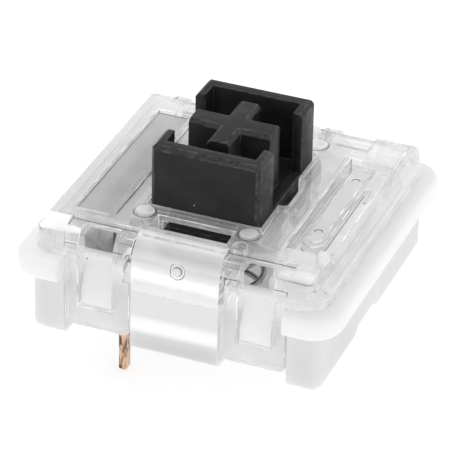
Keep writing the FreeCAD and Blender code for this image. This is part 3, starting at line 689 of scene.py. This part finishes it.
class Bench:
    """Modelling steps that the sub-assemblies share."""

    @staticmethod
    def pick(*pieces: bpy.types.Object) -> None:
        """Selects these objects only, the first of them active.

        Args:
            pieces: the objects.
        """
        bpy.ops.object.select_all(action="DESELECT")
        for piece in pieces:
            piece.select_set(True)
        bpy.context.view_layer.objects.active = pieces[0]

    @staticmethod
    def fresh() -> bpy.types.Object:
        """The primitive that was just added."""
        return bpy.context.active_object

    @staticmethod
    def settle(piece: bpy.types.Object) -> None:
        """Puts an object's place, turn and size into its mesh."""
        Bench.pick(piece)
        bpy.ops.object.transform_apply(location=True, rotation=True, scale=True)

    @staticmethod
    def apply(piece: bpy.types.Object, modifier: bpy.types.Modifier) -> None:
        """Applies a modifier to its object."""
        Bench.pick(piece)
        bpy.ops.object.modifier_apply(modifier=modifier.name)

    @staticmethod
    def copied(node: str, name: str) -> bpy.types.Object:
        """A node's shape as a new object, with its points welded and its flat faces whole.

        Args:
            node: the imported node.
            name: the new object's name.

        Returns:
            The new object.
        """
        piece = bpy.data.objects.new(name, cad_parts[node].data.copy())
        piece.data.name = name
        piece.data.materials.clear()
        bpy.context.scene.collection.objects.link(piece)
        Bench.pick(piece)
        bpy.ops.object.mode_set(mode="EDIT")
        bpy.ops.mesh.select_all(action="SELECT")
        bpy.ops.mesh.customdata_custom_splitnormals_clear()
        bpy.ops.mesh.remove_doubles(threshold=WELD)
        bpy.ops.mesh.dissolve_limited(angle_limit=math.radians(FLAT_DEG))
        bpy.ops.object.mode_set(mode="OBJECT")
        return piece

    @staticmethod
    def dress(piece: bpy.types.Object, finishes: tuple[FaceFinish, ...],
              finish_of: Callable[[bpy.types.MeshPolygon], Enum]) -> None:
        """Adds a piece's materials and gives each face its own.

        Args:
            piece: the object.
            finishes: its finishes, in the order of their Enum.
            finish_of: says which of them a face has.
        """
        for finish in finishes:
            piece.data.materials.append(finish.material())
        for face in piece.data.polygons:
            face.material_index = finish_of(face).value

    @staticmethod
    def soften(piece: bpy.types.Object, width: float, material: int = -1) -> None:
        """Rounds the sharp edges of a piece.

        Args:
            piece: the object.
            width: width of the rounding, in metres.
            material: which of the piece's materials the rounding gets, or -1 for its neighbour's.
        """
        bevel = piece.modifiers.new("edge", "BEVEL")
        bevel.material = material
        bevel.width = width
        bevel.segments = ROUND_STEPS
        bevel.limit_method = "ANGLE"
        bevel.angle_limit = math.radians(SHARP_DEG)
        bevel.use_clamp_overlap = True
        bevel.miter_outer = "MITER_ARC"
        Bench.apply(piece, bevel)

    @staticmethod
    def facet_edges(piece: bpy.types.Object, width: float, outward: int, inward: int) -> None:
        """Cuts a narrow facet along each sharp edge of a piece.

        Args:
            piece: the object.
            width: how far the facet reaches on each side of the edge, in metres.
            outward: which of the piece's materials it gets on an edge that stands out.
            inward: which one it gets in a corner.
        """
        Bench.pick(piece)
        bpy.ops.object.mode_set(mode="EDIT")
        bpy.ops.mesh.select_mode(type="EDGE")
        bpy.ops.mesh.select_all(action="DESELECT")
        shape = bmesh.from_edit_mesh(piece.data)
        for edge in shape.edges:
            if len(edge.link_faces) == 2 and edge.calc_face_angle() > math.radians(SHARP_DEG):
                edge.select_set(True)
        bmesh.update_edit_mesh(piece.data)
        bpy.ops.mesh.bevel(offset=width, segments=1, affect="EDGES", clamp_overlap=False, material=outward)
        shape = bmesh.from_edit_mesh(piece.data)
        for face in shape.faces:
            turns = [edge.calc_face_angle_signed() for edge in face.edges if len(edge.link_faces) == 2]
            if face.material_index == outward and sum(turns) < 0:
                face.material_index = inward
        bmesh.update_edit_mesh(piece.data)
        bpy.ops.object.mode_set(mode="OBJECT")

    @staticmethod
    def shade(piece: bpy.types.Object, turn_deg: float = SMOOTH_DEG) -> None:
        """Clears a piece of slivers and shades it smooth.

        Args:
            piece: the object.
            turn_deg: faces that turn less than this are shaded as one.
        """
        Bench.pick(piece)
        bpy.ops.object.mode_set(mode="EDIT")
        bpy.ops.mesh.select_all(action="SELECT")
        bpy.ops.mesh.remove_doubles(threshold=WELD)
        bpy.ops.mesh.dissolve_degenerate(threshold=WELD)
        bpy.ops.object.mode_set(mode="OBJECT")
        bpy.ops.object.shade_smooth_by_angle(angle=math.radians(turn_deg))

    @staticmethod
    def finish(piece: bpy.types.Object, material: bpy.types.Material | None, body: Body, slot: Slot) -> None:
        """Gives a piece its material and body.

        Args:
            piece: the object.
            material: its material, or None for a piece that has its own already.
            body: what it rides on.
            slot: the record's slot; not used.
        """
        if material:
            piece.data.materials.clear()
            piece.data.materials.append(material)
        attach(piece, body.value)
        log.info("%s: %d faces on %s", piece.name, len(piece.data.polygons), body.value)


@dataclass
class LowerHousing:
    """The milky housing with its flange, corner blocks and post."""

    edge: float = 0.05 * MM
    block_half: float = 2.12 * MM           # half width of the centre blocks
    block_face: float = 6.9 * MM            # how far out their faces lie, at least
    face_turn: float = 0.9                  # least part of a face's normal that points out
    catch_in: float = 3.0 * MM              # the catches, from the middle
    catch_out: float = 4.7 * MM
    catch_y: float = 6.35 * MM              # how far out they stand, at least
    hollow: float = 6.15 * MM               # half width of the space inside
    floor_z: float = 2.0 * MM               # its floor lies below this

    def finish_of(self, face: bpy.types.MeshPolygon) -> BodyFinish:
        """The finish of one face, from its place.

        Args:
            face: the face.

        Returns:
            Its finish.
        """
        x, y, z = face.center
        inward = face.normal.x * x + face.normal.y * y < -WELD
        floor = face.normal.z > self.face_turn and z < self.floor_z
        if max(abs(x), abs(y)) < self.hollow and (inward or floor):
            return BodyFinish.HOLLOW
        if abs(x) < self.block_half and abs(y) > self.block_face and abs(face.normal.y) > self.face_turn:
            return BodyFinish.BANDED
        if self.catch_in < abs(x) < self.catch_out and abs(y) > self.catch_y and face.normal.y * y > 0:
            return BodyFinish.CATCH
        return BodyFinish.PLAIN

    def build(self) -> None:
        """Makes the housing."""
        piece = Bench.copied("bottom_housing", "milky_body")
        # milky_banded carries a painted highlight band that glows, with painted shade below it
        finishes = (MilkyNylon("milky_nylon"), MilkyNylon("milky_banded", True),
                    MilkyNylon("milky_catch", thin=grey(0.84), thick=grey(0.92)),
                    MilkyNylon("milky_hollow", let_in=0.2))
        Bench.dress(piece, finishes, self.finish_of)
        Bench.soften(piece, self.edge)
        Bench.shade(piece)
        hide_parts("bottom_housing")
        Bench.finish(piece, None, Body.HOUSING, Slot.MILKY)


@dataclass
class UpperHousing:
    """The clear housing with its legs, slots, name panel and light trough."""

    edge: float = 0.028 * MM                # less than half of the dimples' depth
    panel_x: float = 2.2 * MM               # half width of the centre panels
    panel_y: float = 5.46 * MM              # how far out they lie
    facet_x: float = 2.5 * MM               # outer side of the grooves beside them
    facet_y: float = 6.1 * MM               # where those grooves start
    facet_z: float = 3.5 * MM               # their lower end
    shoulder_x: float = -4.7 * MM           # inner end of the shoulders that get a painted highlight
    shoulder_y: float = 5.8 * MM            # where the rounded shoulders start
    level: float = 0.1                      # upward part of a normal that counts as none
    lit_turn: float = 0.6                   # least upward part of a bright shoulder's normal
    floor_turn: float = 0.99                # least upward part of a floor's normal
    boss_z: float = 5.85 * MM               # just under the bosses' tops
    boss_x: float = 1.9 * MM                # inner side of the bosses
    name_z: float = 5.58 * MM               # height of the name panel's floor
    name_x: float = -3.9 * MM               # its inner edge
    pocket_z: float = 5.0 * MM              # height of the pocket's and the trough's floor
    dimple_z: float = 5.3 * MM              # height of the dimples' floors
    near: float = 0.02 * MM                 # heights that differ less are the same
    seat_z: float = 4.15 * MM               # where the housing rests on the flange
    seat_lift: float = 0.03 * MM            # air left there, so that light leaves the clear plastic
    panel_bands: Levels = (                 # painted light and shade on the centre panels: how light they are, by height
        (3.25, 0.64), (3.75, 0.66), (4.15, 0.97), (4.5, 0.68), (4.82, 0.55), (4.98, 0.6), (5.35, 0.47),
        (5.8, 0.56))

    def lift_seat(self, piece: bpy.types.Object) -> None:
        """Raises the lower rim alone a hair above the flange.

        Args:
            piece: the housing.
        """
        Bench.pick(piece)
        bpy.ops.object.mode_set(mode="EDIT")
        bpy.ops.mesh.select_mode(type="VERT")
        bpy.ops.mesh.select_all(action="DESELECT")
        shape = bmesh.from_edit_mesh(piece.data)
        for point in shape.verts:
            if abs(point.co.z - self.seat_z) < WELD:
                point.select_set(True)
        bmesh.update_edit_mesh(piece.data)
        bpy.ops.transform.translate(value=(0, 0, self.seat_lift))
        bpy.ops.object.mode_set(mode="OBJECT")

    def finish_of(self, face: bpy.types.MeshPolygon) -> CoverFinish:
        """The finish of one face, from its place and the way it faces.

        Args:
            face: the face.

        Returns:
            Its finish.
        """
        x, y, z = face.center
        turned = face.normal.y * y > 0
        if abs(x) < self.panel_x and abs(y) > self.panel_y and turned and abs(face.normal.x) < self.level:
            return CoverFinish.PANEL
        if abs(x) < self.facet_x and abs(y) > self.facet_y and z > self.facet_z:
            return CoverFinish.FACETS
        lit = turned and self.lit_turn < face.normal.z < self.floor_turn
        if x < self.shoulder_x and abs(y) > self.shoulder_y and lit:
            return CoverFinish.SHOULDER
        if face.normal.z < self.floor_turn:
            return CoverFinish.POLISHED
        if abs(z - self.name_z) < self.near and x < self.name_x:
            return CoverFinish.NAME_FLOOR
        if abs(z - self.pocket_z) < self.near and x > 0:
            return CoverFinish.PALE
        if z > self.boss_z and abs(x) > self.boss_x and abs(y) > abs(x):
            return CoverFinish.PALE
        if abs(z - self.dimple_z) < self.near:
            return CoverFinish.DIMPLE
        return CoverFinish.POLISHED

    def build(self) -> None:
        """Makes the housing."""
        piece = Bench.copied("top_housing", "clear_cover")
        self.lift_seat(piece)
        finishes = (ClearCarbonate("clear_polished", 0.7, 0.72, 0.03),
                    # painted bands of light and shade that glow, on the centre panels
                    ClearCarbonate("clear_panel", 0.86, 0.25, 0.1, glow=0.5, bands=self.panel_bands),
                    # a painted highlight that glows, along the edges that stand out
                    ClearCarbonate("clear_rim", 0.75, 0.2, 0.12, WHITE, glow=0.28, uneven=grey(0.4)),
                    # painted shade along the corners
                    ClearCarbonate("clear_groove", 0.85, 0.1, 0.12, grey(0.04)),
                    ClearCarbonate("clear_name_floor", 0.8, 0.2, 0.2, grey(0.48)),
                    # a faint painted glow on the pocket's floor and the bosses' tops
                    ClearCarbonate("clear_pale", 0.8, 0.15, 0.15, grey(0.88), glow=0.06),
                    ClearCarbonate("clear_dimple", 0.85, 0.1, 0.15, grey(0.16)),
                    # painted dark and bright patches standing in for bent light, in the grooves beside the
                    # panels
                    ClearCarbonate("clear_painted_patches", 0.8, 0.2, 0.1, painted_patches=True),
                    # a painted highlight that glows, on the shoulders
                    ClearCarbonate("clear_shoulder", 0.75, 0.3, 0.08, WHITE, glow=0.3))
        Bench.dress(piece, finishes, self.finish_of)
        # edges that stand out get the rim's painted highlight, corners the groove's painted shade
        Bench.facet_edges(piece, self.edge, CoverFinish.RIM.value, CoverFinish.GROOVE.value)
        Bench.shade(piece)
        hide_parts("top_housing")
        Bench.finish(piece, None, Body.HOUSING, Slot.CLEAR)


@dataclass
class Stem:
    """The black stem with its keycap cross."""

    edge: float = 0.05 * MM
    bevel_turn: float = 0.4                 # least part of a bevel's normal along each of two axes

    def finish_of(self, face: bpy.types.MeshPolygon) -> StemFinish:
        """The finish of one face, from the way it faces.

        Args:
            face: the face.

        Returns:
            Its finish.
        """
        if sum(abs(part) > self.bevel_turn for part in face.normal) > 1:
            return StemFinish.BEVEL
        return StemFinish.SATIN

    def build(self) -> None:
        """Makes the stem."""
        piece = Bench.copied("stem", "black_stem_body")
        finishes = (BlackAcetal("black_satin"),
                    # black_edge and black_bevel are lighter: a painted highlight on the rounded edges and on
                    # the chamfers
                    BlackAcetal("black_edge", grey(0.012), (0.09, 0.09, 0.091), 2.5),
                    BlackAcetal("black_bevel", grey(0.02), (0.062, 0.062, 0.063), 9.0))
        Bench.dress(piece, finishes, self.finish_of)
        Bench.soften(piece, self.edge, StemFinish.EDGE.value)
        Bench.shade(piece)
        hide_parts("stem")
        Bench.finish(piece, None, Body.STEM, Slot.BLACK)


@dataclass
class ReturnSpring:
    """A coil of round wire with a closed turn at each end."""

    wire: float = 0.28 * MM
    turns: int = 7                          # with the closed one at each end
    closed_pitch: float = 1.03              # rise of a closed turn, in widths of the wire
    sides: int = 12                         # faces round the wire
    steps: int = 36                         # rings of faces in a turn
    smooth_deg: float = 60.0                # the wire's faces turn less than this

    def coil(self, start: float, pitch: float, turns: int) -> bpy.types.Object:
        """Some turns of the coil.

        Args:
            start: height of the wire's middle at the first turn.
            pitch: rise in one turn.
            turns: number of turns.

        Returns:
            The turns, open at both ends.
        """
        low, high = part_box("return_spring")
        radius = (high.x - low.x - self.wire) / 2
        bpy.ops.mesh.primitive_circle_add(
            vertices=self.sides, radius=self.wire / 2, location=(radius, 0, start),
            rotation=(math.pi / 2, 0, 0))
        ring = Bench.fresh()
        Bench.settle(ring)
        screw = ring.modifiers.new("turns", "SCREW")
        screw.axis = "Z"
        screw.angle = 2 * math.pi * turns
        screw.screw_offset = pitch * turns
        screw.steps = screw.render_steps = self.steps * turns
        Bench.apply(ring, screw)
        return ring

    def build(self) -> None:
        """Makes the spring."""
        low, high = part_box("return_spring")
        closed = self.wire * self.closed_pitch
        bottom, top = low.z + self.wire / 2, high.z - self.wire / 2
        rise = (top - bottom - 2 * closed) / (self.turns - 2)
        spring = self.coil(bottom, closed, 1)
        middle = self.coil(bottom + closed, rise, self.turns - 2)
        upper = self.coil(top - closed, closed, 1)
        Bench.pick(spring, middle, upper)
        bpy.ops.object.join()
        bpy.ops.object.mode_set(mode="EDIT")
        bpy.ops.mesh.select_all(action="SELECT")
        bpy.ops.mesh.remove_doubles(threshold=WELD)
        bpy.ops.mesh.select_all(action="DESELECT")
        bpy.ops.mesh.select_non_manifold()
        bpy.ops.mesh.edge_face_add()
        bpy.ops.mesh.select_all(action="SELECT")
        bpy.ops.mesh.normals_make_consistent(inside=False)
        bpy.ops.object.mode_set(mode="OBJECT")
        spring.name = "return_coil"
        Bench.shade(spring, self.smooth_deg)
        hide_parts("return_spring")
        metal = Metal("spring_wire", (0.42, 0.42, 0.43), (0.66, 0.66, 0.67), (10.0, 10.0, 10.0))
        Bench.finish(spring, metal.material(), Body.HOUSING, Slot.SPRING)
        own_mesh(spring)


@dataclass
class Contacts:
    """Both stamped terminals, the spring leaf and the contact tips."""

    edge: float = 0.03 * MM

    def dressed(self, node: str, name: str, material: bpy.types.Material, body: Body, slot: Slot) -> None:
        """One contact part with softened edges.

        Args:
            node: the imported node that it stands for.
            name: its name.
            material: its material.
            body: what it rides on.
            slot: the record's slot.
        """
        piece = Bench.copied(node, name)
        Bench.soften(piece, self.edge)
        Bench.shade(piece)
        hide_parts(node)
        Bench.finish(piece, material, body, slot)

    def build(self) -> None:
        """Makes all the contact parts."""
        strip = PlatedCopper().material()
        leaf = Metal("leaf_bronze_strip", (0.30, 0.26, 0.22), (0.55, 0.49, 0.42))
        silver = Metal("silver_tip", (0.55, 0.54, 0.52), (0.80, 0.79, 0.77), (6.0, 6.0, 6.0), (0.12, 0.3))
        tip = silver.material()
        self.dressed("leaf_terminal", "front_terminal", strip, Body.HOUSING, Slot.COPPER)
        self.dressed("fixed_terminal", "side_terminal", strip, Body.HOUSING, Slot.COPPER)
        self.dressed("contact_leaf", "moving_leaf", leaf.material(), Body.LEAF, Slot.BRONZE)
        self.dressed("leaf_contact_tip", "moving_tip", tip, Body.LEAF, Slot.SILVER)
        self.dressed("fixed_contact_tip", "fixed_tip", tip, Body.HOUSING, Slot.SILVER)


@dataclass
class Studio:
    """The floor, the lights and the camera."""

    floor_half: float = 1.2
    azimuth_deg: float = 20.953
    elevation_deg: float = 30.855
    roll_deg: float = 1.385
    distance: float = 148.064 * MM
    aim: Point = (0.0, 0.0, 4.4 * MM)       # the point that the fitted view turns about
    focal_px: float = 3219.644
    aim_px: tuple[float, float] = (232.344, 204.023)
    frame_px: float = 466.0
    sensor_mm: float = 36.0
    light_turns: int = 32                   # how often light may turn inside the clear plastic
    sky: float = 0.8                        # strength of the pale sky
    sight: Span = (0.01, 10.0)              # how near and how far the camera sees
    boxes: tuple[tuple[str, Point, Span, float], ...] = (       # each light's name, middle, size and watts
        ("key_right", (0.30, 0.04, 0.16), (0.22, 0.22), 0.03),
        ("top", (-0.04, 0.10, 0.34), (0.30, 0.30), 0.25))

    def floor(self, height: float) -> None:
        """A pale floor.

        Args:
            height: how high it lies.
        """
        bpy.ops.mesh.primitive_plane_add(size=2 * self.floor_half, location=(0, 0, height))
        floor = Bench.fresh()
        floor.name = "floor"
        Bench.settle(floor)
        floor.data.materials.append(PaleFloor().material())
        floor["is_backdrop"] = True

    def softbox(self, name: str, place: Point, size: Span, watts: float) -> None:
        """A soft light that faces the object.

        Args:
            name: its name.
            place: its middle.
            size: its width and height.
            watts: its power.
        """
        data = bpy.data.lights.new(name, "AREA")
        data.shape = "RECTANGLE"
        data.size, data.size_y = size
        data.energy = watts
        lamp = bpy.data.objects.new(name, data)
        lamp.location = place
        lamp.rotation_euler = (Vector(self.aim) - Vector(place)).to_track_quat("-Z", "Y").to_euler()
        bpy.context.scene.collection.objects.link(lamp)

    def lights(self) -> None:
        """Soft light from the right and from above, a pale sky, and how often light may turn."""
        for box in self.boxes:
            self.softbox(*box)
        world = bpy.data.worlds.new("pale_sky")
        world.use_nodes = True
        sky = world.node_tree.nodes["Background"]
        sky.inputs["Color"].default_value = (*WHITE, 1.0)
        sky.inputs["Strength"].default_value = self.sky
        bpy.context.scene.world = world
        bpy.context.scene.view_settings.view_transform = "Standard"
        paths = bpy.context.scene.cycles
        paths.max_bounces = paths.transmission_bounces = paths.transparent_max_bounces = self.light_turns
        paths.glossy_bounces = self.light_turns

    def camera(self) -> None:
        """The camera at the photograph's viewing angle, aimed so that it needs no shift."""
        turn, rise = math.radians(self.azimuth_deg), math.radians(self.elevation_deg)
        roll = math.radians(self.roll_deg)
        back = Vector((math.sin(turn) * math.cos(rise), -math.cos(turn) * math.cos(rise), math.sin(rise)))
        level = Vector((math.cos(turn), math.sin(turn), 0.0))
        upright = back.cross(level)
        across = level * math.cos(roll) + upright * math.sin(roll)
        up = upright * math.cos(roll) - level * math.sin(roll)
        middle = self.frame_px / 2
        right = (middle - self.aim_px[0]) / self.focal_px
        down = (middle - self.aim_px[1]) / self.focal_px
        look = (across * right - up * down - back).normalized()
        side = look.cross(up).normalized()
        turned = Matrix((side, side.cross(look), -look)).transposed()
        data = bpy.data.cameras.new("camera")
        data.sensor_width = self.sensor_mm
        data.lens = self.focal_px * self.sensor_mm / self.frame_px
        data.clip_start, data.clip_end = self.sight
        camera = bpy.data.objects.new("camera", data)
        camera.matrix_world = Matrix.Translation(Vector(self.aim) + back * self.distance) @ turned.to_4x4()
        bpy.context.scene.collection.objects.link(camera)
        bpy.context.scene.camera = camera

    def build(self, height: float) -> None:
        """Makes the floor, the lights and the camera.

        Args:
            height: how high the floor lies.
        """
        self.floor(height)
        self.lights()
        self.camera()


def main() -> None:
    """Builds each sub-assembly in order."""
    logging.basicConfig(level=logging.INFO, format="%(message)s")
    cad_low, cad_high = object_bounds()
    Studio().build(cad_low.z)
    for assembly in (LowerHousing(), UpperHousing(), Stem(), ReturnSpring(), Contacts()):
        assembly.build()


if __name__ == "__main__":
    main()
